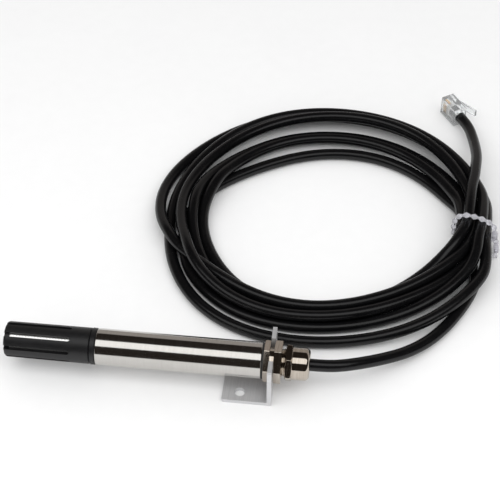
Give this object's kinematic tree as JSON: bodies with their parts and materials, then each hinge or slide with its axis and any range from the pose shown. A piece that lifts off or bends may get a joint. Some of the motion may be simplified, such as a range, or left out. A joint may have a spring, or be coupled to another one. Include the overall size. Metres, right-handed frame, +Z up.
{
  "type": "temperature and humidity probe",
  "caption": "Slim round temperature and humidity probe on an angle bracket, with a slotted filter cap, a cable gland and a tied coil of cable that ends in a clear plug.",
  "frame": {"origin": "middle of the underside of the bracket's foot", "axes": "+Z up out of the table, +X along the probe towards the gland and cable, +Y towards the coil"},
  "size_m": [0.2008, 0.1945, 0.0212],
  "materials": {
    "satin_aluminium": "sawn extruded angle, satin",
    "polished_nickel": "mirror-polished nickel plating on a brass tube",
    "plated_brass": "bright nickel plating on turned brass",
    "black_rubber": "matt moulded rubber",
    "black_plastic": "satin moulded plastic",
    "steel_gauze": "fine woven wire",
    "white_plastic": "plain moulded plastic",
    "green_board": "solder mask over glass-fibre laminate",
    "black_chip": "matt moulded package",
    "white_chip": "smooth sensor package",
    "tan_capacitor": "fired ceramic block",
    "black_cable": "smooth soft jacket, slight sheen",
    "clear_tie": "translucent moulded nylon",
    "clear_plug": "clear moulded polycarbonate",
    "gold_contact": "gold-plated blades",
    "core_red": "thin core insulation",
    "core_black": "thin core insulation",
    "core_green": "thin core insulation",
    "core_yellow": "thin core insulation",
    "core_white": "thin core insulation"
  },
  "bodies": {
    "root": {"mounting_bracket": "satin_aluminium", "probe_tube": "polished_nickel", "end_gasket": "black_rubber", "lock_nut": "plated_brass", "gland_body": "plated_brass", "gland_cage": "white_plastic", "gland_seal": "black_rubber", "dome_nut": "plated_brass", "filter_cap": "black_plastic", "filter_gauze": "steel_gauze", "sensor_holder": "white_plastic", "cap_seal": "black_rubber", "sensor_board": "green_board", "humidity_sensor": "white_chip", "converter_chip": "black_chip", "board_capacitors": "tan_capacitor", "cable_end": "black_cable", "cable_lead": "black_cable", "cable_coil": "black_cable", "cable_tail": "black_cable", "cable_tie": "clear_tie", "plug_body": "clear_plug", "plug_contacts": "gold_contact", "plug_cores": "core_white", "plug_jacket": "black_cable", "core_wire_red": "core_red", "core_wire_black": "core_black", "core_wire_green": "core_green", "core_wire_yellow": "core_yellow"}
  },
  "joints": []
}
